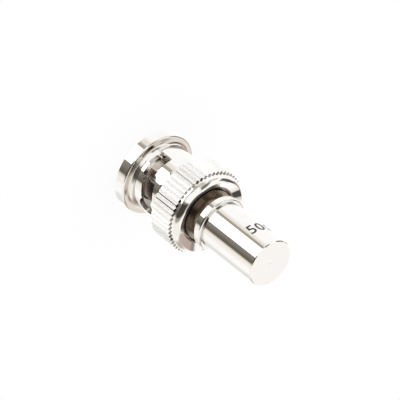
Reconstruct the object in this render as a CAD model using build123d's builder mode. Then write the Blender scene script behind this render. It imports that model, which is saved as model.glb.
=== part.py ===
from build123d import *
from math import atan2, cos, degrees, hypot, pi, radians, sin
import os

# Male bayonet terminator for 50 ohm coaxial line, in millimetres.
# The coupling nut's front rim stands on Z = 0 and the plug's axis is +Z, mating end down.
# One of the nut's two lug grooves is centred on the XZ plane, on the +X side.

# Coupling nut, outside
nut_d = 14.5
flange_drop = 0.25
flange_len = 2.05
flange_round = 0.3
knurl_rise = 1.6
neck_len = 5.5
neck_fillet = 0.7
knurl_len = 4.15
knurl_count = 53
knurl_depth = 0.38
knurl_land = 0.16
rim_plain_len = 0.5
rim_round_len = 1.08
rim_round_drop = 0.67
nut_edge = 0.12

# Coupling nut, inside
neck_wall = 0.75
nut_lead_in = 0.35
web_len = 1.0
mouth_step = 0.78
mouth_len = 0.6
dish_depth = 0.68

# Bayonet slots: a lug of 2 mm enters along the groove, climbs the ramp and drops into the pocket
slot_angles = (0, 180)
groove_w = 2.8
groove_break = 0.07
groove_end = 5.66
link_angle = 25.3
link_w = 2.3
link_z = 4.62
link_len = 2.2
ramp_angle_start = 36.3
ramp_angle_end = 62.3
ramp_z_start = 5.29
ramp_z_end = 5.95
ramp_w = 2.54
pocket_angle = 82.1
pocket_z = 5.95
pocket_d = 3.0

# Plug body
spring_room = 0.95
running_gap = 0.05
collar_gap = 0.28
collar_len = 0.7
waist_len = 1.9
waist_wall = 0.85
body_ring_step = 0.57
body_ring_len = 1.3
body_ring_round = 0.3
spigot_len = 2.2
spigot_wall = 0.38
body_socket_wall = 0.63
body_seat_step = 0.3
rear_bore_gap = 0.3
body_edge = 0.1

# Outer contact, a slotted spring tube on a flange that carries the gasket
contact_recess = 1.7
contact_reach = 5.3
mating_room = 1.1
contact_tip_rise = 0.25
contact_tip_len = 1.2
contact_wall = 0.4
contact_slits = 6
contact_slit_w = 0.34
contact_slit_len = 4.4
contact_slit_angle = -18.2
contact_flange_gap = 0.2
contact_flange_len = 1.0
contact_tail_wall = 0.68
contact_tail_len = 2.0

# Insulators and gasket
fit_gap = 0.02
insulator_recess = 0.6
insulator_wall = 0.965
gasket_len = 0.7
gasket_gap = 0.25
bead_len = 1.2

# Centre pin
pin_d = 1.35
pin_lead = 0.3
pin_tip_len = 0.5
pin_neck_d = 1.7
pin_shank_d = 2.1
pin_seat_depth = 1.2
pin_cup_len = 0.6
pin_cup_bore_d = 0.72
pin_cup_depth = 1.1

# Spring pack in front of the nut's web
thrust_washer_len = 0.4
wave_free_len = 0.8
wave_thickness = 0.2
wave_count = 3
wave_steps = 8
flat_washer_len = 0.4
retaining_ring_len = 0.4
retaining_ring_gap = 0.3
retaining_groove_depth = 0.4
retaining_ring_opening = 2.6
washer_gap = 0.14

# Resistor, its sleeve and its leads
core_d = 2.3
core_len = 7.6
core_cap_len = 1.2
core_cap_wall = 0.2
coating_wall = 0.25
coating_waist_wall = 0.3
coating_end = 0.15
lead_d = 0.6
lead_front_len = 3.3
sleeve_wall = 0.25
sleeve_overhang = 0.1
sleeve_gap = 0.05

# End cap with the ground disc that the rear lead is soldered to
cap_d = 8.06
cap_len = 11.6
cap_wall = 0.73
cap_end_wall = 1.2
cap_seat_step = 0.7
cap_edge = 0.12
cap_centre_d = 0.3
cap_centre_depth = 0.12
disc_len = 0.6
disc_inset = 3.5
lead_stub = 0.55
solder_base_d = 1.7

os.makedirs("parts", exist_ok=True)

# Diameters, from the knurl inwards
flange_d = nut_d - 2 * flange_drop
neck_d = nut_d - 2 * knurl_rise
groove_floor_d = neck_d + 2 * groove_break
nut_bore_d = neck_d - 2 * neck_wall
body_neck_d = nut_bore_d - 2 * spring_room
washer_d = nut_bore_d - 2 * washer_gap
washer_bore_d = body_neck_d + 2 * running_gap
mouth_d = washer_bore_d + 2 * mouth_step
collar_d = mouth_d - 2 * collar_gap
rim_d = nut_d - 2 * knurl_depth
rim_end_d = rim_d - 2 * rim_round_drop

contact_tube_d = nut_bore_d - 2 * mating_room
contact_tip_d = contact_tube_d + 2 * contact_tip_rise
contact_bore_d = contact_tube_d - 2 * contact_wall
contact_flange_d = nut_bore_d - 2 * contact_flange_gap
gasket_d = nut_bore_d - 2 * gasket_gap
retaining_ring_d = nut_bore_d - 2 * retaining_ring_gap
retaining_groove_d = body_neck_d - 2 * retaining_groove_depth
contact_tail_d = body_neck_d - 2 * (body_socket_wall + fit_gap)
body_bore_d = contact_tail_d - 2 * body_seat_step
insulator_bore_d = contact_bore_d - 2 * (insulator_wall + fit_gap)
insulator_neck_d = contact_tail_d - 2 * (contact_tail_wall + fit_gap)

# Diameters, from the end cap inwards
body_ring_d = cap_d + 2 * body_ring_step
cap_bore_d = cap_d - 2 * cap_wall
cap_pocket_d = cap_bore_d - 2 * cap_seat_step
spigot_d = cap_bore_d - 2 * fit_gap
spigot_bore_d = spigot_d - 2 * spigot_wall
waist_d = spigot_bore_d + 2 * waist_wall

# Diameters of the resistor, from its core outwards
core_cap_d = core_d + 2 * core_cap_wall
coating_d = core_cap_d + 2 * coating_wall
coating_waist_d = core_d + 2 * coating_waist_wall

# Stations along the axis
neck_end = flange_len + neck_len
knurl_start = neck_end + (nut_d - neck_d) / 2
knurl_end = knurl_start + knurl_len
rim_start = knurl_end + rim_plain_len
nut_end = rim_start + rim_round_len
mouth_edge = nut_end - dish_depth
web_rear = mouth_edge - mouth_len
web_front = web_rear - web_len
collar_rear = web_rear + collar_len
ring_front = collar_rear + waist_len
ring_rear = ring_front + body_ring_len
cap_end = ring_rear + cap_len

washer_front = web_front - thrust_washer_len
wave_front = washer_front - wave_free_len
flat_front = wave_front - flat_washer_len
retainer_front = flat_front - retaining_ring_len

gasket_seat = contact_recess + contact_reach
body_front = gasket_seat + contact_flange_len
tail_end = body_front + contact_tail_len
pin_seat = gasket_seat + pin_seat_depth
bead_rear = tail_end + bead_len
pin_end = bead_rear + pin_cup_len
cup_bottom = pin_end - pin_cup_depth

core_cap_front = cup_bottom + fit_gap + lead_front_len
core_front = core_cap_front + core_cap_wall
core_rear = core_front + core_len
core_cap_rear = core_rear + core_cap_wall
disc_rear = cap_end - disc_inset
disc_front = disc_rear - disc_len


def wall_plane(angle, z=0):
    """Plane on the axis that looks out at an angle round it, with its y along +Z."""
    a = radians(angle)
    return Plane(origin=(0, 0, z), x_dir=(-sin(a), cos(a), 0), z_dir=(cos(a), sin(a), 0))


# Coupling nut: flange, slotted neck, straight knurl and rounded rear rim
with BuildPart() as coupling_nut:
    with BuildSketch(Plane.XZ):
        with BuildLine():
            rim_rise = (rim_round_len**2 + rim_round_drop**2) / (2 * rim_round_drop)
            rim_turn = atan2(rim_round_len, rim_rise - rim_round_drop) / 2
            rim_mid = (
                rim_d / 2 - rim_rise * (1 - cos(rim_turn)),
                rim_start + rim_rise * sin(rim_turn),
            )
            Polyline(
                (nut_bore_d / 2 + nut_lead_in, 0),
                (flange_d / 2 - nut_edge, 0),
                (flange_d / 2, nut_edge),
                (flange_d / 2, flange_len - flange_round),
            )
            RadiusArc(
                (flange_d / 2, flange_len - flange_round),
                (flange_d / 2 - flange_round, flange_len),
                -flange_round,
            )
            Line((flange_d / 2 - flange_round, flange_len), (neck_d / 2 + neck_fillet, flange_len))
            RadiusArc(
                (neck_d / 2 + neck_fillet, flange_len),
                (neck_d / 2, flange_len + neck_fillet),
                neck_fillet,
            )
            Polyline(
                (neck_d / 2, flange_len + neck_fillet),
                (neck_d / 2, neck_end),
                (nut_d / 2, knurl_start),
                (nut_d / 2, knurl_end),
                (rim_d / 2, knurl_end),
                (rim_d / 2, rim_start),
            )
            ThreePointArc((rim_d / 2, rim_start), rim_mid, (rim_end_d / 2, nut_end))
            Polyline(
                (rim_end_d / 2, nut_end),
                (mouth_d / 2, mouth_edge),
                (mouth_d / 2, web_rear),
                (washer_bore_d / 2, web_rear),
                (washer_bore_d / 2, web_front),
                (nut_bore_d / 2, web_front),
                (nut_bore_d / 2, nut_lead_in),
                (nut_bore_d / 2 + nut_lead_in, 0),
            )
        make_face()
    revolve(axis=Axis.Z)
    # Straight knurl: V grooves that leave narrow crests and run out on the front cone
    groove_half_w = (pi * nut_d / knurl_count - knurl_land) / 2
    with BuildSketch(Plane.XY.offset(neck_end)):
        with PolarLocations(nut_d / 2, knurl_count):
            Polygon(
                (-knurl_depth, 0),
                (knurl_depth, -2 * groove_half_w),
                (knurl_depth, 2 * groove_half_w),
                align=None,
            )
    extrude(amount=knurl_end - neck_end, mode=Mode.SUBTRACT)
    # Lug grooves: closed inside the flange, open through the thinner neck
    with BuildSketch():
        Circle(groove_floor_d / 2)
        Rectangle(groove_floor_d, groove_w, mode=Mode.INTERSECT)
    extrude(amount=groove_end, mode=Mode.SUBTRACT)
    # Link, ramp and locking pocket, cut through the neck from its axis outward
    ramp_turn = (ramp_angle_end - ramp_angle_start) / 2
    ramp_run = neck_d * sin(radians(ramp_turn))
    ramp_rise = ramp_z_end - ramp_z_start
    for side in slot_angles:
        with BuildSketch(wall_plane(side + link_angle, link_z)):
            Rectangle(link_w, link_len)
        with BuildSketch(wall_plane(side + ramp_angle_start + ramp_turn, (ramp_z_start + ramp_z_end) / 2)):
            SlotCenterToCenter(
                hypot(ramp_run, ramp_rise), ramp_w, rotation=degrees(atan2(ramp_rise, ramp_run))
            )
        with BuildSketch(wall_plane(side + pocket_angle, pocket_z)):
            Circle(pocket_d / 2)
    extrude(amount=nut_d / 2, mode=Mode.SUBTRACT)
coupling_nut.part.label = "coupling_nut"
export_step(coupling_nut.part, "parts/coupling_nut.step")

# Thrust washer, pressed by the web
with BuildPart() as thrust_washer:
    with BuildSketch(Plane.XY.offset(washer_front)):
        Circle(washer_d / 2)
        Circle(washer_bore_d / 2, mode=Mode.SUBTRACT)
    extrude(amount=thrust_washer_len)
thrust_washer.part.label = "thrust_washer"
export_step(thrust_washer.part, "parts/thrust_washer.step")

# One wave of the spring, crest to crest: a flat strip swept round the neck
with BuildPart() as wave:
    wave_r = (washer_d + washer_bore_d) / 4
    wave_w = (washer_d - washer_bore_d) / 2 - 2 * running_gap
    wave_mid = wave_front + wave_free_len / 2
    wave_rise = (wave_free_len - wave_thickness) / 2
    wave_turn = 2 * pi / wave_count
    turns = [wave_turn * step / wave_steps for step in range(wave_steps + 1)]
    with BuildLine() as wave_path:
        Spline(
            *[(wave_r * cos(a), wave_r * sin(a), wave_mid + wave_rise * cos(wave_count * a)) for a in turns],
            tangents=[(-sin(a), cos(a), 0) for a in (turns[0], turns[-1])],
        )
    crest = Plane(origin=(wave_r, 0, wave_mid + wave_rise), x_dir=(1, 0, 0), z_dir=(0, 1, 0))
    with BuildSketch(crest):
        Rectangle(wave_w, wave_thickness)
    # The same path further down keeps the strip level across its width
    guide = wave_path.line.moved(Location((0, 0, -wave_r)))
    sweep(path=wave_path.line, binormal=guide.edges()[0])

# Wave washer, the waves joined in a ring
with BuildPart() as wave_washer:
    with PolarLocations(0, wave_count):
        add(wave.part)
wave_washer.part.label = "wave_washer"
export_step(wave_washer.part, "parts/wave_washer.step")

# Flat washer, the spring's fixed seat
with BuildPart() as flat_washer:
    with BuildSketch(Plane.XY.offset(flat_front)):
        Circle(washer_d / 2)
        Circle(washer_bore_d / 2, mode=Mode.SUBTRACT)
    extrude(amount=flat_washer_len)
flat_washer.part.label = "flat_washer"
export_step(flat_washer.part, "parts/flat_washer.step")

# Retaining ring, open on one side to snap into the body's groove
with BuildPart() as retaining_ring:
    with BuildSketch(Plane.XY.offset(retainer_front)):
        Circle(retaining_ring_d / 2)
        Circle(retaining_groove_d / 2 + fit_gap, mode=Mode.SUBTRACT)
        with Locations((-retaining_ring_d / 2, 0)):
            Rectangle(retaining_ring_d / 2, retaining_ring_opening, mode=Mode.SUBTRACT)
    extrude(amount=retaining_ring_len)
retaining_ring.part.label = "retaining_ring"
export_step(retaining_ring.part, "parts/retaining_ring.step")

# Plug body: neck for the nut, collar in the nut's mouth, waist, rear ring and spigot
with BuildPart() as plug_body:
    with BuildSketch(Plane.XZ):
        with BuildLine():
            Polyline(
                (body_bore_d / 2, tail_end),
                (contact_tail_d / 2 + fit_gap, tail_end),
                (contact_tail_d / 2 + fit_gap, body_front),
                (body_neck_d / 2 - body_edge, body_front),
                (body_neck_d / 2, body_front + body_edge),
                (body_neck_d / 2, retainer_front - fit_gap),
                (retaining_groove_d / 2, retainer_front - fit_gap),
                (retaining_groove_d / 2, flat_front),
                (body_neck_d / 2, flat_front),
                (body_neck_d / 2, web_rear),
                (collar_d / 2, web_rear),
                (collar_d / 2, collar_rear - body_edge),
                (collar_d / 2 - body_edge, collar_rear),
                (waist_d / 2, collar_rear),
                (waist_d / 2, ring_front),
                (body_ring_d / 2 - body_edge, ring_front),
                (body_ring_d / 2, ring_front + body_edge),
                (body_ring_d / 2, ring_rear - body_ring_round),
            )
            RadiusArc(
                (body_ring_d / 2, ring_rear - body_ring_round),
                (body_ring_d / 2 - body_ring_round, ring_rear),
                -body_ring_round,
            )
            Polyline(
                (body_ring_d / 2 - body_ring_round, ring_rear),
                (spigot_d / 2, ring_rear),
                (spigot_d / 2, ring_rear + spigot_len),
                (spigot_bore_d / 2, ring_rear + spigot_len),
                (spigot_bore_d / 2, web_rear + rear_bore_gap),
                (body_bore_d / 2, web_rear + rear_bore_gap),
                (body_bore_d / 2, tail_end),
            )
        make_face()
    revolve(axis=Axis.Z)
plug_body.part.label = "plug_body"
export_step(plug_body.part, "parts/plug_body.step")

# Outer contact: spring fingers with a raised tip, gasket flange and tail pressed in the body
with BuildPart() as outer_contact:
    with BuildSketch(Plane.XZ):
        with BuildLine():
            Polyline(
                (contact_bore_d / 2, contact_recess),
                (contact_tube_d / 2, contact_recess),
                (contact_tip_d / 2, contact_recess + contact_tip_rise),
                (contact_tip_d / 2, contact_recess + contact_tip_len - contact_tip_rise),
                (contact_tube_d / 2, contact_recess + contact_tip_len),
                (contact_tube_d / 2, gasket_seat),
                (contact_flange_d / 2, gasket_seat),
                (contact_flange_d / 2, body_front),
                (contact_tail_d / 2, body_front),
                (contact_tail_d / 2, tail_end),
                (insulator_neck_d / 2 + fit_gap, tail_end),
                (insulator_neck_d / 2 + fit_gap, gasket_seat),
                (contact_bore_d / 2, gasket_seat),
                (contact_bore_d / 2, contact_recess),
            )
        make_face()
    revolve(axis=Axis.Z)
    with BuildSketch(Plane.XY.offset(contact_recess)):
        with PolarLocations(contact_tip_d / 2, contact_slits, start_angle=contact_slit_angle):
            Rectangle(contact_tip_d / 2, contact_slit_w)
    extrude(amount=contact_slit_len, mode=Mode.SUBTRACT)
outer_contact.part.label = "outer_contact"
export_step(outer_contact.part, "parts/outer_contact.step")

# Sealing gasket on the flange, pressed by the end of the mating jack
with BuildPart() as face_gasket:
    with BuildSketch(Plane.XY.offset(gasket_seat - gasket_len)):
        Circle(gasket_d / 2)
        Circle(contact_tube_d / 2 + running_gap, mode=Mode.SUBTRACT)
    extrude(amount=gasket_len)
face_gasket.part.label = "face_gasket"
export_step(face_gasket.part, "parts/face_gasket.step")

# Front insulator: a cup inside the fingers with a neck that centres the pin
with BuildPart() as front_insulator:
    with BuildSketch(Plane.XZ):
        with BuildLine():
            Polyline(
                (insulator_bore_d / 2, contact_recess + insulator_recess),
                (contact_bore_d / 2 - fit_gap, contact_recess + insulator_recess),
                (contact_bore_d / 2 - fit_gap, gasket_seat),
                (insulator_neck_d / 2, gasket_seat),
                (insulator_neck_d / 2, tail_end),
                (pin_shank_d / 2 + fit_gap, tail_end),
                (pin_shank_d / 2 + fit_gap, pin_seat),
                (pin_neck_d / 2 + fit_gap, pin_seat),
                (pin_neck_d / 2 + fit_gap, gasket_seat),
                (insulator_bore_d / 2, gasket_seat),
                (insulator_bore_d / 2, contact_recess + insulator_recess),
            )
        make_face()
    revolve(axis=Axis.Z)
front_insulator.part.label = "front_insulator"
export_step(front_insulator.part, "parts/front_insulator.step")

# Rear bead that closes the line behind the front insulator
with BuildPart() as pin_bead:
    with BuildSketch(Plane.XY.offset(tail_end)):
        Circle(body_bore_d / 2 - fit_gap)
        Circle(pin_shank_d / 2 + fit_gap, mode=Mode.SUBTRACT)
    extrude(amount=bead_len)
pin_bead.part.label = "pin_bead"
export_step(pin_bead.part, "parts/pin_bead.step")

# Centre pin: tapered tip, shoulder on the insulator's seat and a cup for the resistor's lead
with BuildPart() as centre_pin:
    with BuildSketch(Plane.XZ):
        with BuildLine():
            pin_tip = contact_recess - pin_lead
            Polyline(
                (0, pin_tip),
                (pin_d / 4, pin_tip),
                (pin_d / 2, pin_tip + pin_tip_len),
                (pin_d / 2, gasket_seat),
                (pin_neck_d / 2, gasket_seat),
                (pin_neck_d / 2, pin_seat),
                (pin_shank_d / 2, pin_seat),
                (pin_shank_d / 2, pin_end),
                (pin_cup_bore_d / 2, pin_end),
                (pin_cup_bore_d / 2, cup_bottom),
                (0, cup_bottom),
                (0, pin_tip),
            )
        make_face()
    revolve(axis=Axis.Z)
centre_pin.part.label = "centre_pin"
export_step(centre_pin.part, "parts/centre_pin.step")

# Resistor core, a ceramic rod under its resistive film
with BuildPart() as resistor_core:
    with BuildSketch(Plane.XY.offset(core_front)):
        Circle(core_d / 2)
    extrude(amount=core_len)
resistor_core.part.label = "resistor_core"
export_step(resistor_core.part, "parts/resistor_core.step")

# Pressed metal caps on both ends of the core, open towards each other
cap_ends = {
    "resistor_cap_front": (core_cap_front, 1),
    "resistor_cap_rear": (core_cap_rear, -1),
}
for name, (station, way) in cap_ends.items():
    with BuildPart() as core_cap:
        with BuildSketch(Plane.XY.offset(station)):
            Circle(core_cap_d / 2)
        extrude(amount=way * core_cap_len)
        with BuildSketch(Plane.XY.offset(station + way * core_cap_wall)):
            Circle(core_d / 2)
        extrude(amount=way * (core_cap_len - core_cap_wall), mode=Mode.SUBTRACT)
    core_cap.part.label = name
    export_step(core_cap.part, f"parts/{name}.step")

# Front lead, from the pin's cup to the front cap
with BuildPart() as resistor_lead_front:
    with BuildSketch(Plane.XY.offset(cup_bottom + fit_gap)):
        Circle(lead_d / 2)
    extrude(amount=lead_front_len)
resistor_lead_front.part.label = "resistor_lead_front"
export_step(resistor_lead_front.part, "parts/resistor_lead_front.step")

# Rear lead, from the rear cap through the ground disc
with BuildPart() as resistor_lead_rear:
    with BuildSketch(Plane.XY.offset(core_cap_rear)):
        Circle(lead_d / 2)
    extrude(amount=disc_rear + lead_stub - core_cap_rear)
resistor_lead_rear.part.label = "resistor_lead_rear"
export_step(resistor_lead_rear.part, "parts/resistor_lead_rear.step")

# Lacquer coat, thick over the caps and thinner over the core
with BuildPart() as resistor_coating:
    with BuildSketch(Plane.XZ):
        with BuildLine():
            coat_front = core_cap_front - coating_end
            coat_rear = core_cap_rear + coating_end
            cap_inner_front = core_cap_front + core_cap_len
            cap_inner_rear = core_cap_rear - core_cap_len
            Polyline(
                (lead_d / 2, coat_front),
                (coating_d / 2 - coating_wall, coat_front),
                (coating_d / 2, coat_front + coating_wall),
                (coating_d / 2, cap_inner_front),
                (coating_waist_d / 2, cap_inner_front + coating_wall),
                (coating_waist_d / 2, cap_inner_rear - coating_wall),
                (coating_d / 2, cap_inner_rear),
                (coating_d / 2, coat_rear - coating_wall),
                (coating_d / 2 - coating_wall, coat_rear),
                (lead_d / 2, coat_rear),
                (lead_d / 2, core_cap_rear),
                (core_cap_d / 2, core_cap_rear),
                (core_cap_d / 2, cap_inner_rear),
                (core_d / 2, cap_inner_rear),
                (core_d / 2, cap_inner_front),
                (core_cap_d / 2, cap_inner_front),
                (core_cap_d / 2, core_cap_front),
                (lead_d / 2, core_cap_front),
                (lead_d / 2, coat_front),
            )
        make_face()
    revolve(axis=Axis.Z)
resistor_coating.part.label = "resistor_coating"
export_step(resistor_coating.part, "parts/resistor_coating.step")

# Insulating sleeve over the resistor
with BuildPart() as insulating_sleeve:
    with BuildSketch(Plane.XY.offset(core_cap_front - sleeve_overhang)):
        Circle(coating_d / 2 + sleeve_gap + sleeve_wall)
        Circle(coating_d / 2 + sleeve_gap, mode=Mode.SUBTRACT)
    extrude(amount=core_cap_rear - core_cap_front + 2 * sleeve_overhang)
insulating_sleeve.part.label = "insulating_sleeve"
export_step(insulating_sleeve.part, "parts/insulating_sleeve.step")

# Ground disc, pressed against the step in the cap's bore
with BuildPart() as ground_disc:
    with BuildSketch(Plane.XY.offset(disc_front)):
        Circle(cap_bore_d / 2 - fit_gap)
        Circle(lead_d / 2 + fit_gap, mode=Mode.SUBTRACT)
    extrude(amount=disc_len)
ground_disc.part.label = "ground_disc"
export_step(ground_disc.part, "parts/ground_disc.step")

# Solder round the front lead, filling the pin's cup
with BuildPart() as solder_front:
    with BuildSketch(Plane.XY.offset(cup_bottom + fit_gap)):
        Circle(pin_cup_bore_d / 2)
        Circle(lead_d / 2, mode=Mode.SUBTRACT)
    extrude(amount=pin_end - cup_bottom - fit_gap)
solder_front.part.label = "solder_front"
export_step(solder_front.part, "parts/solder_front.step")

# Solder fillet round the rear lead, on the ground disc
with BuildPart() as solder_rear:
    with BuildSketch(Plane.XZ):
        with BuildLine():
            Polyline(
                (lead_d / 2, disc_rear + lead_stub),
                (lead_d / 2, disc_rear),
                (solder_base_d / 2, disc_rear),
            )
            ThreePointArc(
                (solder_base_d / 2, disc_rear),
                ((solder_base_d + 2 * lead_d) / 6, disc_rear + lead_stub / 3),
                (lead_d / 2, disc_rear + lead_stub),
            )
        make_face()
    revolve(axis=Axis.Z)
solder_rear.part.label = "solder_rear"
export_step(solder_rear.part, "parts/solder_rear.step")

# End cap, pressed over the body's spigot
with BuildPart() as end_cap:
    with BuildSketch(Plane.XZ):
        with BuildLine():
            Polyline(
                (cap_bore_d / 2, ring_rear),
                (cap_d / 2 - cap_edge, ring_rear),
                (cap_d / 2, ring_rear + cap_edge),
                (cap_d / 2, cap_end - cap_edge),
                (cap_d / 2 - cap_edge, cap_end),
                (cap_centre_d / 2, cap_end),
                (0, cap_end - cap_centre_depth),
                (0, cap_end - cap_end_wall),
                (cap_pocket_d / 2, cap_end - cap_end_wall),
                (cap_pocket_d / 2, disc_rear),
                (cap_bore_d / 2, disc_rear),
                (cap_bore_d / 2, ring_rear),
            )
        make_face()
    revolve(axis=Axis.Z)
end_cap.part.label = "end_cap"
export_step(end_cap.part, "parts/end_cap.step")
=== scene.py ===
import bmesh
import bpy
from math import cos, pi, radians, sin
from mathutils import Matrix, Vector


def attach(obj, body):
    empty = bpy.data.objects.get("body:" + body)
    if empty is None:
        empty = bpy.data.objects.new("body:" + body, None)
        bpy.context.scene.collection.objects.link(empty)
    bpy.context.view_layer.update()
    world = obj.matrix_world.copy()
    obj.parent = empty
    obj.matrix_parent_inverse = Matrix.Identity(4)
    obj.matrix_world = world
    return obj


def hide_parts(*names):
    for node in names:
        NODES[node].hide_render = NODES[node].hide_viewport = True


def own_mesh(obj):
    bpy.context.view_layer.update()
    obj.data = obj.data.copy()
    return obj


# Male bayonet terminator, seen from behind and to one side, on a white ground.
# Everything is in metres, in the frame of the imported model: +Z is the plug's axis.

MM = 0.001

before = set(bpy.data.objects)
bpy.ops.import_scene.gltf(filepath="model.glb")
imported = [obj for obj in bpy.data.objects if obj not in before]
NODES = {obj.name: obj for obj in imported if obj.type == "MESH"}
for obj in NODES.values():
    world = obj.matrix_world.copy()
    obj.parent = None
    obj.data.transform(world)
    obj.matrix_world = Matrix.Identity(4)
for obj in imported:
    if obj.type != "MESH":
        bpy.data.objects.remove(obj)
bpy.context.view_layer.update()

# ---------------------------------------------------------------- camera
VIEW_AZIMUTH = 21.3          # the camera's angle round the axis, from +X towards +Y
VIEW_TILT = 54.37            # between the line of sight and the axis
AXIS_SLOPE = 38.21           # of the axis in the picture, below the horizontal
VIEW_DISTANCE = 1440 * MM
PIXELS_PER_MM = 6.493
PICTURE = 400                # pixels across
SENSOR_MM = 36
CLIP_NEAR, CLIP_FAR = 10 * MM, 100.0
TARGET_Z = 17.28 * MM        # the point of the axis that TARGET_PIXEL shows
TARGET_PIXEL = (220.968, 224.769)


def camera_axes():
    """The picture's right, down and forward directions, in the part's frame."""
    tilt, slope = radians(VIEW_TILT), radians(AXIS_SLOPE)
    axis = Vector((sin(tilt) * cos(slope), sin(tilt) * sin(slope), -cos(tilt)))
    near = Vector((0, 0, -1)) - axis * axis.dot(Vector((0, 0, -1)))
    near.normalize()
    side = axis.cross(near)
    turn = radians(VIEW_AZIMUTH)
    x_seen = near * cos(turn) - side * sin(turn)
    y_seen = near * sin(turn) + side * cos(turn)
    return [Vector((x_seen[i], y_seen[i], axis[i])) for i in range(3)]


right, down, forward = camera_axes()
camera_data = bpy.data.cameras.new("camera")
camera = bpy.data.objects.new("camera", camera_data)
bpy.context.scene.collection.objects.link(camera)
bpy.context.scene.camera = camera
offset = [(p - PICTURE / 2) / PIXELS_PER_MM * MM for p in TARGET_PIXEL]
eye = Vector((0, 0, TARGET_Z)) - right * offset[0] - down * offset[1] - forward * VIEW_DISTANCE
camera.matrix_world = Matrix(
    (
        (right.x, -down.x, -forward.x, eye.x),
        (right.y, -down.y, -forward.y, eye.y),
        (right.z, -down.z, -forward.z, eye.z),
        (0, 0, 0, 1),
    )
)
camera_data.sensor_width = SENSOR_MM
camera_data.lens = SENSOR_MM * PIXELS_PER_MM * VIEW_DISTANCE / MM / PICTURE
camera_data.clip_start, camera_data.clip_end = CLIP_NEAR, CLIP_FAR
bpy.context.scene.view_settings.view_transform = "Standard"


# ---------------------------------------------------------------- node helpers
def new_node(tree, kind, **values):
    node = tree.nodes.new(kind)
    for key, value in values.items():
        setattr(node, key, value)
    return node


def feed(tree, socket, value):
    """Link an output to the socket, or set the socket to a number or a colour."""
    if isinstance(value, bpy.types.NodeSocket):
        tree.links.new(value, socket)
    elif isinstance(value, tuple) and len(value) == 3 and len(socket.default_value) == 4:
        socket.default_value = (*value, 1)
    else:
        socket.default_value = value


def maths(tree, operation, *values):
    node = new_node(tree, "ShaderNodeMath", operation=operation)
    for socket, value in zip(node.inputs, values):
        feed(tree, socket, value)
    return node.outputs[0]


def step(tree, value, low, high):
    """Rises smoothly from 0 at low to 1 at high, or falls where high is the smaller."""
    node = new_node(tree, "ShaderNodeMapRange", interpolation_type="SMOOTHSTEP")
    feed(tree, node.inputs["Value"], value)
    node.inputs["From Min"].default_value = low
    node.inputs["From Max"].default_value = high
    return node.outputs["Result"]


def between(tree, value, low, high, soft):
    """1 from low to high, and 0 beyond a soft edge on each side."""
    rise = step(tree, value, low - soft / 2, low + soft / 2)
    fall = step(tree, value, high + soft / 2, high - soft / 2)
    return maths(tree, "MULTIPLY", rise, fall)


def product(tree, first, *others):
    """Several masks multiplied."""
    for other in others:
        first = maths(tree, "MULTIPLY", first, other)
    return first


def blend(tree, factor, a, b):
    """Two colours mixed."""
    node = new_node(tree, "ShaderNodeMix", data_type="RGBA")
    for socket, value in ((node.inputs[0], factor), (node.inputs[6], a), (node.inputs[7], b)):
        feed(tree, socket, value)
    return node.outputs[2]


def lerp(tree, factor, a, b):
    """Two numbers mixed."""
    node = new_node(tree, "ShaderNodeMix", data_type="FLOAT")
    for socket, value in ((node.inputs[0], factor), (node.inputs[2], a), (node.inputs[3], b)):
        feed(tree, socket, value)
    return node.outputs[0]


# ---------------------------------------------------------------- world
# A white tent with cards and openings in it. Angles are round the part's axis, from the lens
# on, and heights are above the plane across the axis, both in degrees. In the photograph's
# view, the sides of every cylinder on the axis reflect a height of -36, so the low cards are
# what the cap and the neck show.
def shade(value, warmth=1.0):
    """A grey of that brightness; warmth under 1 takes blue away and adds a little red."""
    cold = 1 - warmth
    return (value * (1 + 0.45 * cold), value, value * (1 - 0.55 * cold))


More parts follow.
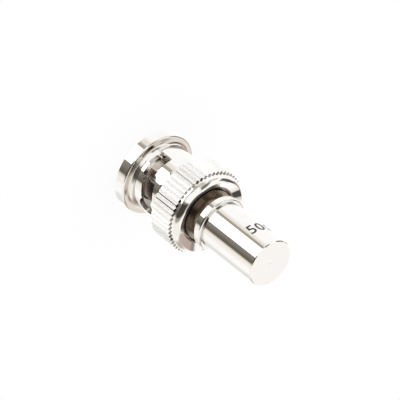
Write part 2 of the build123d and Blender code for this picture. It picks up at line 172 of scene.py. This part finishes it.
WHITE = (1.0, 1.0, 1.0)
SOFT_LIGHT = shade(1.05)     # what matt surfaces see
TENT = shade(1.22)           # what mirrors see between the cards
CARDS = (
    # angles, heights, softness across and up, colour; a later card lies over an earlier one
    ((116, 154), (-95, -24), (20, 10), shade(0.92)),            # right wall, low
    ((-56, -42), (-95, -26), (12, 10), shade(0.97, 0.88)),      # cream edge left of the softbox
    ((-38, -29), (-95, -30), (7, 6), shade(0.42, 0.7)),         # brown strip beside it
    ((-28, 20), (-95, -31), (2, 3), shade(2.4)),                # softbox
    ((118, 144), (-18, 46), (16, 12), shade(0.56, 0.72)),       # right wall, warm
    ((149, 165), (38, 52), (6, 8), shade(0.48, 0.75)),          # behind it, warm
    ((134, 147), (31, 42), (3, 2), shade(0.08, 0.8)),           # dark slab over the right wall
    ((-168, -138), (-4, 34), (6, 8), (0.6, 0.49, 0.44)),        # rear wall, warm
    ((-144, -103), (9, 35), (8, 8), shade(0.12, 0.8)),          # dark opening, left
    ((-150, -126), (50, 66), (10, 8), shade(0.4, 0.8)),         # and over it
    ((-92, -64), (-4, 14), (10, 8), shade(0.66, 0.82)),         # left wall, warm
    ((-72, -44), (14, 55), (12, 12), shade(0.22, 0.8)),         # dark opening over it
    ((-58, -38), (-30, 12), (10, 10), shade(0.68, 0.8)),        # warm strip left of the lens
    ((-20, 16), (-29, -19), (6, 3), shade(0.4, 0.85)),          # gap over the softbox
    ((166, 194), (20, 50), (8, 8), shade(1.16, 0.97)),          # rear card, which the end face shows
    ((-38, -16), (-28, -8), (6, 6), shade(0.5, 0.75)),          # warm card in front
    ((60, 108), (-26, 50), (12, 10), shade(1.1, 0.93)),         # cream wall, right
    ((9, 66), (-22, 66), (8, 14), shade(0.42, 0.78)),           # frame of the dark room
    ((14, 54), (-24, 62), (8, 10), shade(0.06, 0.72)),          # dark room behind the lens
    ((20, 57), (-95, -22), (3, 6), shade(0.26, 0.76)),          # its floor
    ((38, 57), (-95, -22), (26, 6), shade(0.13, 0.74)),         # darker on the far side
    ((58, 80), (-95, -24), (14, 8), shade(1.08, 0.92)),         # cream edge right of it
    ((56, 62), (-95, -24), (5, 8), shade(0.82, 0.76)),          # and its warm side
    ((-90, 90), (72, 95), (10, 6), shade(0.13, 0.8)),           # dark ceiling above the lens
)


def make_world():
    world = bpy.data.worlds.new("tent")
    bpy.context.scene.world = world
    world.use_nodes = True
    tree = world.node_tree
    tree.nodes.clear()
    seen = new_node(tree, "ShaderNodeTexCoord").outputs["Generated"]
    split = new_node(tree, "ShaderNodeSeparateXYZ")
    feed(tree, split.inputs[0], seen)
    azimuth = maths(tree, "ARCTAN2", split.outputs["Y"], split.outputs["X"])
    azimuth = maths(tree, "MULTIPLY", azimuth, 180 / pi)
    height = maths(tree, "MULTIPLY", maths(tree, "ARCSINE", split.outputs["Z"]), 180 / pi)
    tent = TENT
    for (start, end), (low, high), (across, up), colour in CARDS:
        away = maths(tree, "SUBTRACT", azimuth, VIEW_AZIMUTH + (start + end) / 2)
        away = maths(tree, "ABSOLUTE", maths(tree, "WRAP", away, 180, -180))
        half = (end - start) / 2
        beside = step(tree, away, half + across / 2, half - across / 2)
        inside = product(tree, beside, between(tree, height, low, high, up))
        tent = blend(tree, inside, tent, colour)
    path = new_node(tree, "ShaderNodeLightPath")
    through = path.outputs["Is Transmission Ray"]
    mirrored = maths(tree, "MAXIMUM", path.outputs["Is Glossy Ray"], through)
    plain = new_node(tree, "ShaderNodeBackground")
    feed(tree, plain.inputs["Color"], SOFT_LIGHT)
    surroundings = plain.outputs[0]
    for factor, colour in ((mirrored, tent), (path.outputs["Is Camera Ray"], WHITE)):
        layer = new_node(tree, "ShaderNodeBackground")
        feed(tree, layer.inputs["Color"], colour)
        mix = new_node(tree, "ShaderNodeMixShader")
        feed(tree, mix.inputs["Fac"], factor)
        feed(tree, mix.inputs[1], surroundings)
        feed(tree, mix.inputs[2], layer.outputs[0])
        surroundings = mix.outputs[0]
    output = new_node(tree, "ShaderNodeOutputWorld")
    feed(tree, output.inputs["Surface"], surroundings)


make_world()


# ---------------------------------------------------------------- materials
class Finish:
    """A material with its shader, and the coordinates that its patterns follow."""

    def __init__(self, name, metallic=0.0, **constants):
        self.material = bpy.data.materials.new(name)
        self.material.use_nodes = True
        self.tree = self.material.node_tree
        self.shader = self.tree.nodes["Principled BSDF"]
        self.shader.inputs["Metallic"].default_value = metallic
        for socket, value in constants.items():
            self.shader.inputs[socket.replace("_", " ")].default_value = value
        self.place = new_node(self.tree, "ShaderNodeTexCoord").outputs["Object"]
        split = new_node(self.tree, "ShaderNodeSeparateXYZ")
        feed(self.tree, split.inputs[0], self.place)
        self.x, self.y, self.z = split.outputs
        square = maths(self.tree, "MULTIPLY", self.x, self.x)
        square = maths(self.tree, "MULTIPLY_ADD", self.y, self.y, square)
        self.r = maths(self.tree, "SQRT", square)
        self.angle = maths(self.tree, "ARCTAN2", self.y, self.x)
        self.normal = None

    def noise(self, size, detail=3.0, place=None):
        """Noise from 0 to 1 with grains of that size in metres."""
        node = new_node(self.tree, "ShaderNodeTexNoise")
        feed(self.tree, node.inputs["Vector"], place or self.place)
        node.inputs["Scale"].default_value = 1 / size if place is None else 1.0
        node.inputs["Detail"].default_value = detail
        return node.outputs["Fac"]

    def rings(self, pitch, turn=1.0, detail=2.0):
        """Lines round the axis, as a lathe leaves them, with that pitch in metres."""
        node = new_node(self.tree, "ShaderNodeCombineXYZ")
        feed(self.tree, node.inputs[0], maths(self.tree, "DIVIDE", self.r, pitch))
        feed(self.tree, node.inputs[1], maths(self.tree, "DIVIDE", self.z, pitch))
        feed(self.tree, node.inputs[2], maths(self.tree, "MULTIPLY", self.angle, turn))
        return self.noise(1, detail, node.outputs[0])

    def strokes(self, pitch, length, detail=2.0):
        """Lines along the axis, with that pitch round it and that length in metres."""
        node = new_node(self.tree, "ShaderNodeCombineXYZ")
        feed(self.tree, node.inputs[0], maths(self.tree, "DIVIDE", self.x, pitch))
        feed(self.tree, node.inputs[1], maths(self.tree, "DIVIDE", self.y, pitch))
        feed(self.tree, node.inputs[2], maths(self.tree, "DIVIDE", self.z, length))
        return self.noise(1, detail, node.outputs[0])

    def spread(self, value, low, high, a, b):
        """The value from low to high turned into a number from a to b."""
        return lerp(self.tree, step(self.tree, value, low, high), a, b)

    def bump(self, height, distance):
        node = new_node(self.tree, "ShaderNodeBump")
        node.inputs["Strength"].default_value = 1
        node.inputs["Distance"].default_value = distance
        feed(self.tree, node.inputs["Height"], height)
        if self.normal is not None:
            feed(self.tree, node.inputs["Normal"], self.normal)
        self.normal = node.outputs["Normal"]

    def done(self, colour, roughness):
        feed(self.tree, self.shader.inputs["Base Color"], colour)
        feed(self.tree, self.shader.inputs["Roughness"], roughness)
        if self.normal is not None:
            feed(self.tree, self.shader.inputs["Normal"], self.normal)
        return self.material


NICKEL = (0.80, 0.785, 0.76)
NICKEL_SMUDGED = (0.78, 0.763, 0.735)

# The body: painted shade on its waist behind the nut, and a painted dark ring of shade on its collar
RECESS_SHADE_COLOUR, RECESS_ROUGHNESS = (0.30, 0.25, 0.20), 0.25
RECESS_R, RECESS_Z = 4.42 * MM, (14.24 * MM, 16.15 * MM)
COLLAR_SHADE_COLOUR = (0.07, 0.06, 0.055)
COLLAR_R, COLLAR_Z = (4.37 * MM, 4.6 * MM), (13.7 * MM, 14.35 * MM)

# The nut: the sides of its ribs, painted near white as a painted sheen, and painted shade on the
# rear ends of its ribs, its flange's corner and back, and its bore
CREST_R, VALLEY_R = 7.25 * MM, 6.87 * MM
KNURL_Z = (7.55 * MM, 13.3 * MM)
RIB_SIDE_SHEEN_COLOUR, RIB_SIDE_SHEEN_METALLIC = (0.97, 0.96, 0.945), 0.35
RIB_END_SHADE_COLOUR = (0.31, 0.285, 0.26)
CORNER_SHADE_COLOUR = (0.34, 0.31, 0.28)
CORNER_R, CORNER_Z = (6.48 * MM, 6.66 * MM), (1.9 * MM, 2.1 * MM)
BACK_SHADE_COLOUR, BACK_ROUGHNESS = (0.64, 0.585, 0.53), 0.17
BACK_Z = (2.0 * MM, 2.7 * MM)
NECK_R, BACK_FADE = 5.65 * MM, 0.5 * MM
BORE_SHADE_COLOUR, BORE_ROUGHNESS = (0.35, 0.31, 0.28), 0.34
BORE_R = 5.0 * MM


def polished(name):
    """A plate with lathe lines under it, fine wear and faint smudges: look, colour, roughness."""
    look = Finish(name, 1.0)
    smudge = step(look.tree, look.noise(2.2 * MM, 4), 0.52, 0.72)
    colour = blend(look.tree, smudge, NICKEL, NICKEL_SMUDGED)
    roughness = look.spread(look.noise(0.7 * MM, 5), 0.35, 0.7, 0.03, 0.055)
    look.bump(look.rings(0.35 * MM, 0.8), 0.0012 * MM)
    look.bump(look.rings(0.05 * MM, 1.5), 0.0002 * MM)
    return look, colour, roughness


def bright_nickel():
    """The cap: polished all over."""
    look, colour, roughness = polished("bright_nickel")
    return look.done(colour, roughness)


def nickel_with_painted_recess_shade():
    """The body: painted shade, brown and dull, in its waist, with a painted dark ring of shade on
    its collar.
    """
    look, colour, roughness = polished("nickel_with_painted_recess_shade")
    tree = look.tree
    # painted shade: the waist behind the nut is coloured brown-dark, as it looks down in its recess
    inside = step(tree, look.r, RECESS_R, RECESS_R - 0.05 * MM)
    recess = product(tree, between(tree, look.z, *RECESS_Z, 0.04 * MM), inside)
    colour = blend(tree, recess, colour, RECESS_SHADE_COLOUR)
    # painted shade: a near-black ring on the collar's edge, where it sits in the dark gap behind the
    # nut
    inside = between(tree, look.r, *COLLAR_R, 0.03 * MM)
    collar = product(tree, between(tree, look.z, *COLLAR_Z, 0.04 * MM), inside)
    colour = blend(tree, collar, colour, COLLAR_SHADE_COLOUR)
    dull = maths(tree, "MAXIMUM", recess, collar)
    return look.done(colour, lerp(tree, dull, roughness, RECESS_ROUGHNESS))


def knurled_nickel_with_painted_light():
    """The nut: satin ribs with polished crests, their sides painted near white as a painted sheen
    and their ends dark with painted shade, and painted shade on a duller bore and flange back and in
    the flange's corner.
    """
    look, colour, roughness = polished("knurled_nickel_with_painted_light")
    tree = look.tree
    facing = new_node(tree, "ShaderNodeSeparateXYZ")
    feed(tree, facing.inputs[0], new_node(tree, "ShaderNodeNewGeometry").outputs["Normal"])

    # the sides of the ribs: a real satin drawn finish, and a painted sheen, as their colour is near
    # white and half matt in place of the light they reflect
    upright = step(tree, maths(tree, "ABSOLUTE", facing.outputs["Z"]), 0.4, 0.3)
    depth = between(tree, look.r, VALLEY_R - 0.04 * MM, CREST_R - 0.015 * MM, 0.01 * MM)
    side = product(tree, depth, between(tree, look.z, *KNURL_Z, 0.02 * MM), upright)
    colour = blend(tree, side, colour, RIB_SIDE_SHEEN_COLOUR)
    drawn = look.spread(look.strokes(0.06 * MM, 1.2 * MM), 0.3, 0.7, 0.46, 0.54)
    roughness = lerp(tree, side, roughness, drawn)
    feed(tree, look.shader.inputs["Metallic"], lerp(tree, side, 1.0, RIB_SIDE_SHEEN_METALLIC))

    # painted shade: the rear ends of the ribs are coloured dark
    last = between(tree, look.z, KNURL_Z[1] - 0.02 * MM, KNURL_Z[1] + 0.02 * MM, 0.01 * MM)
    proud = step(tree, look.r, VALLEY_R, VALLEY_R + 0.02 * MM)
    rib_end_shade = product(tree, last, proud, step(tree, facing.outputs["Z"], 0.8, 0.9))
    colour = blend(tree, rib_end_shade, colour, RIB_END_SHADE_COLOUR)

    # painted shade in the corner behind the flange's rim
    near_rim = between(tree, look.r, *CORNER_R, 0.06 * MM)
    corner = product(tree, between(tree, look.z, *CORNER_Z, 0.05 * MM), near_rim)
    colour = blend(tree, corner, colour, CORNER_SHADE_COLOUR)
    # painted shade on the flange's back, in the groove before the ribs, fading out towards the neck
    back = between(tree, look.z, *BACK_Z, 0.05 * MM)
    back_shade = product(tree, back, step(tree, look.r, NECK_R, NECK_R + BACK_FADE))
    colour = blend(tree, back_shade, colour, BACK_SHADE_COLOUR)
    roughness = lerp(tree, back, roughness, BACK_ROUGHNESS)

    # painted shade: the bore is coloured darker, as its inside is shaded
    bore = step(tree, look.r, BORE_R, BORE_R - 0.03 * MM)
    colour = blend(tree, bore, colour, BORE_SHADE_COLOUR)
    return look.done(colour, lerp(tree, bore, roughness, BORE_ROUGHNESS))


def contact_nickel():
    """Thin plate over spring bronze, duller than the shell and drawn along its length."""
    look = Finish("contact_nickel", 1.0)
    drawn = look.strokes(0.05 * MM, 2.5 * MM, 3)
    worn = step(look.tree, drawn, 0.4, 0.65)
    colour = blend(look.tree, worn, (0.64, 0.585, 0.535), (0.52, 0.475, 0.43))
    look.bump(drawn, 0.0003 * MM)
    return look.done(colour, look.spread(look.noise(0.6 * MM, 4), 0.3, 0.7, 0.14, 0.2))


def turned_bronze():
    """Plain bronze in two tones, with its lines round the axis."""
    look = Finish("bronze", 1.0)
    rings = look.rings(0.09 * MM, 1.2, 3)
    stain = look.noise(0.9 * MM, 5)
    stain = step(look.tree, stain, 0.42, 0.7)
    colour = blend(look.tree, stain, (0.76, 0.54, 0.33), (0.60, 0.40, 0.23))
    look.bump(rings, 0.0009 * MM)
    return look.done(colour, look.spread(rings, 0.3, 0.7, 0.22, 0.4))


def gold_plated():
    """Gold with a worn, paler tip where the pin has rubbed, and fine lathe lines."""
    look = Finish("gold_plate", 1.0)
    tree = look.tree
    scratched = step(tree, look.strokes(0.12 * MM, 2 * MM, 3), 0.35, 0.6)
    rubbed = product(tree, step(tree, look.z, 3.2 * MM, 0.6 * MM), scratched)
    colour = blend(tree, look.noise(0.8 * MM, 4), (0.88, 0.66, 0.27), (0.80, 0.56, 0.20))
    colour = blend(tree, rubbed, colour, (0.90, 0.76, 0.46))
    rings = look.rings(0.06 * MM, 1.2)
    look.bump(rings, 0.0006 * MM)
    return look.done(colour, look.spread(rings, 0.3, 0.7, 0.12, 0.22))


def spring_steel():
    """Rolled strip, drawn along one way, with a faint straw and blue from its temper."""
    look = Finish("spring_steel", 1.0)
    tree = look.tree
    colour = blend(tree, look.noise(0.7 * MM, 4), (0.60, 0.585, 0.55), (0.46, 0.48, 0.51))
    colour = blend(tree, step(tree, look.noise(1.6 * MM, 2), 0.55, 0.75), colour, (0.52, 0.44, 0.34))
    drawn = look.rings(0.04 * MM, 2.5, 3)
    look.bump(drawn, 0.0008 * MM)
    return look.done(colour, look.spread(drawn, 0.3, 0.7, 0.22, 0.38))


def tinned(name, light, dark):
    """Dipped tin: bright, with soft frosted patches and low waves."""
    look = Finish(name, 1.0)
    frost = look.noise(0.35 * MM, 5)
    colour = blend(look.tree, step(look.tree, frost, 0.4, 0.65), light, dark)
    look.bump(look.noise(0.5 * MM, 2), 0.012 * MM)
    return look.done(colour, look.spread(frost, 0.35, 0.65, 0.16, 0.36))


def gasket_rubber():
    """Matt silicone with fine dust and a moulded grain."""
    look = Finish("silicone_rubber", Sheen_Weight=0.15)
    tree = look.tree
    dust = step(tree, look.noise(0.12 * MM, 4), 0.58, 0.72)
    colour = blend(tree, look.noise(1.1 * MM, 3), (0.37, 0.325, 0.28), (0.31, 0.275, 0.24))
    colour = blend(tree, dust, colour, (0.47, 0.44, 0.40))
    look.bump(look.noise(0.06 * MM, 3), 0.004 * MM)
    return look.done(colour, look.spread(look.noise(0.3 * MM, 3), 0.3, 0.7, 0.58, 0.74))


def waxy_plastic(name, light, dark, roughness):
    """Turned PTFE: waxy, slightly mottled, with shallow tool lines."""
    look = Finish(
        name,
        Subsurface_Weight=0.6,
        Subsurface_Radius=(1, 1, 0.9),
        Subsurface_Scale=1.2 * MM,
    )
    rings = look.rings(0.12 * MM, 1.0)
    colour = blend(look.tree, look.noise(0.8 * MM, 3), light, dark)
    look.bump(rings, 0.002 * MM)
    return look.done(colour, look.spread(rings, 0.3, 0.7, roughness - 0.06, roughness + 0.08))


def ceramic():
    """Unglazed ceramic with a fine dark speckle and an open grain."""
    look = Finish("ceramic_core")
    tree = look.tree
    speckle = step(tree, look.noise(0.07 * MM, 3), 0.64, 0.7)
    colour = blend(tree, look.noise(0.6 * MM, 3), (0.82, 0.80, 0.74), (0.76, 0.73, 0.66))
    colour = blend(tree, speckle, colour, (0.55, 0.50, 0.43))
    look.bump(look.noise(0.05 * MM, 4), 0.004 * MM)
    return look.done(colour, look.spread(look.noise(0.2 * MM, 3), 0.3, 0.7, 0.55, 0.75))


def lacquer():
    """Dipped lacquer: glossy, thicker in places, with a slight orange peel."""
    look = Finish("resistor_lacquer", Coat_Weight=0.8, Coat_Roughness=0.05)
    colour = blend(look.tree, look.noise(0.9 * MM, 3), (0.22, 0.43, 0.53), (0.18, 0.36, 0.46))
    look.bump(look.noise(0.4 * MM, 2), 0.015 * MM)
    return look.done(colour, look.spread(look.noise(0.3 * MM, 3), 0.3, 0.7, 0.2, 0.34))


def ink():
    """Printed black, a little thin where the plate shows through."""
    look = Finish("print_ink")
    tree = look.tree
    thin = step(tree, look.noise(0.1 * MM, 4), 0.56, 0.72)
    colour = blend(tree, thin, (0.018, 0.017, 0.017), (0.06, 0.056, 0.052))
    return look.done(colour, look.spread(look.noise(0.15 * MM, 3), 0.3, 0.7, 0.35, 0.55))


bronze = turned_bronze()
steel = spring_steel()
ptfe = waxy_plastic("ptfe", (0.95, 0.94, 0.91), (0.90, 0.885, 0.85), 0.38)
sleeve = waxy_plastic("ptfe_sleeve", (0.90, 0.89, 0.84), (0.84, 0.83, 0.77), 0.32)
tin = tinned("tinned_steel", (0.66, 0.66, 0.64), (0.54, 0.54, 0.52))
copper_tin = tinned("tinned_copper", (0.74, 0.73, 0.70), (0.63, 0.61, 0.57))
solder = tinned("solder", (0.70, 0.71, 0.72), (0.56, 0.57, 0.58))
LOOK = {
    "coupling_nut": knurled_nickel_with_painted_light(),
    "plug_body": nickel_with_painted_recess_shade(),
    "end_cap": bright_nickel(),
    "outer_contact": contact_nickel(),
    "centre_pin": gold_plated(),
    "thrust_washer": bronze,
    "flat_washer": bronze,
    "ground_disc": bronze,
    "wave_washer": steel,
    "retaining_ring": steel,
    "face_gasket": gasket_rubber(),
    "front_insulator": ptfe,
    "pin_bead": ptfe,
    "insulating_sleeve": sleeve,
    "resistor_core": ceramic(),
    "resistor_coating": lacquer(),
    "resistor_cap_front": tin,
    "resistor_cap_rear": tin,
    "resistor_lead_front": copper_tin,
    "resistor_lead_rear": copper_tin,
    "solder_front": solder,
    "solder_rear": solder,
}
for name, material in LOOK.items():
    mesh = NODES[name].data
    mesh.materials.clear()
    mesh.materials.append(material)

# ---------------------------------------------------------------- wave spring
# A copy of the CAD node's mesh, on the plug in place of the hidden wave washer.
spring = bpy.data.objects.new("wave_spring", NODES["wave_washer"].data.copy())
bpy.context.scene.collection.objects.link(spring)
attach(spring, "plug")
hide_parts("wave_washer")
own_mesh(spring)

# ---------------------------------------------------------------- print on the cap
# The line's impedance, printed round the cap with its tops towards the mating end.
PRINT_R = 4.042 * MM
PRINT_BASE_Z = 25.62 * MM
PRINT_HEIGHT = 1.92 * MM
PRINT_SLICE = 0.12 * MM      # between the cuts that let a flat letter bend round the cap
PRINT_BOLDNESS = 0.009       # outline offset, in the font's own units
PRINT_MARKS = (              # character, its middle's angle from +X in degrees, width
    ("5", -14.3, 1.2 * MM),
    ("0", -38.2, 1.46 * MM),
    ("Ω", -66.4, 1.46 * MM),
)


def glyph(character, width, height):
    """One character's outline as a flat mesh, scaled to that width and height."""
    curve = bpy.data.curves.new("glyph", "FONT")
    curve.body = character
    curve.offset = PRINT_BOLDNESS
    holder = bpy.data.objects.new("glyph", curve)
    bpy.context.scene.collection.objects.link(holder)
    bpy.context.view_layer.update()
    outline = holder.evaluated_get(bpy.context.evaluated_depsgraph_get())
    flat = bpy.data.meshes.new_from_object(outline)
    bpy.data.objects.remove(holder)
    xs = [v.co.x for v in flat.vertices]
    ys = [v.co.y for v in flat.vertices]
    left, bottom = min(xs), min(ys)
    wide, tall = max(xs) - left, max(ys) - bottom
    for v in flat.vertices:
        v.co.x = ((v.co.x - left) / wide - 0.5) * width
        v.co.y = (v.co.y - bottom) / tall * height
        v.co.z = 0
    return flat


def print_mark():
    """The three characters cut in slices and wrapped round the cap, as one mesh."""
    bm = bmesh.new()
    for character, centre, width in PRINT_MARKS:
        piece = bmesh.new()
        piece.from_mesh(glyph(character, width, PRINT_HEIGHT))
        cut_x = -width / 2
        while cut_x < width / 2:
            bmesh.ops.bisect_plane(
                piece,
                geom=piece.verts[:] + piece.edges[:] + piece.faces[:],
                plane_co=(cut_x, 0, 0),
                plane_no=(1, 0, 0),
            )
            cut_x += PRINT_SLICE
        for v in piece.verts:
            turn = radians(centre) - v.co.x / PRINT_R
            v.co = (PRINT_R * cos(turn), PRINT_R * sin(turn), PRINT_BASE_Z - v.co.y)
        bmesh.ops.triangulate(piece, faces=piece.faces[:])
        joined = bpy.data.meshes.new("glyph")
        piece.to_mesh(joined)
        piece.free()
        bm.from_mesh(joined)
    mesh = bpy.data.meshes.new("impedance_mark")
    bm.to_mesh(mesh)
    bm.free()
    mesh.materials.append(ink())
    mark = bpy.data.objects.new("impedance_mark", mesh)
    bpy.context.scene.collection.objects.link(mark)
    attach(mark, "plug")


print_mark()

# ---------------------------------------------------------------- floor
# White to the camera, a little less so near the part, where its shadow shows.
FLOOR_SIZE = 600 * MM
FLOOR_Z = -0.2 * MM
FLOOR_COLOUR = (0.97, 0.97, 0.97)
GLOW_NEAR = 0.88
SHADOW_REACH = (12 * MM, 30 * MM)


def floor_white():
    material = bpy.data.materials.new("floor")
    material.use_nodes = True
    tree = material.node_tree
    tree.nodes.clear()
    diffuse = new_node(tree, "ShaderNodeBsdfDiffuse")
    feed(tree, diffuse.inputs["Color"], FLOOR_COLOUR)
    glow = new_node(tree, "ShaderNodeEmission")
    feed(tree, glow.inputs["Color"], WHITE)
    distance = new_node(tree, "ShaderNodeVectorMath", operation="LENGTH")
    feed(tree, distance.inputs[0], new_node(tree, "ShaderNodeTexCoord").outputs["Object"])
    far = step(tree, distance.outputs["Value"], *SHADOW_REACH)
    seen = new_node(tree, "ShaderNodeLightPath").outputs["Is Camera Ray"]
    mix = new_node(tree, "ShaderNodeMixShader")
    feed(tree, mix.inputs["Fac"], product(tree, seen, lerp(tree, far, GLOW_NEAR, 1.0)))
    feed(tree, mix.inputs[1], diffuse.outputs[0])
    feed(tree, mix.inputs[2], glow.outputs[0])
    output = new_node(tree, "ShaderNodeOutputMaterial")
    feed(tree, output.inputs["Surface"], mix.outputs[0])
    return material


bpy.ops.mesh.primitive_plane_add(size=FLOOR_SIZE, location=(0, 0, FLOOR_Z))
floor = bpy.context.object
floor.name = "floor"
floor.data.materials.append(floor_white())
floor.visible_glossy = False
floor.visible_diffuse = False
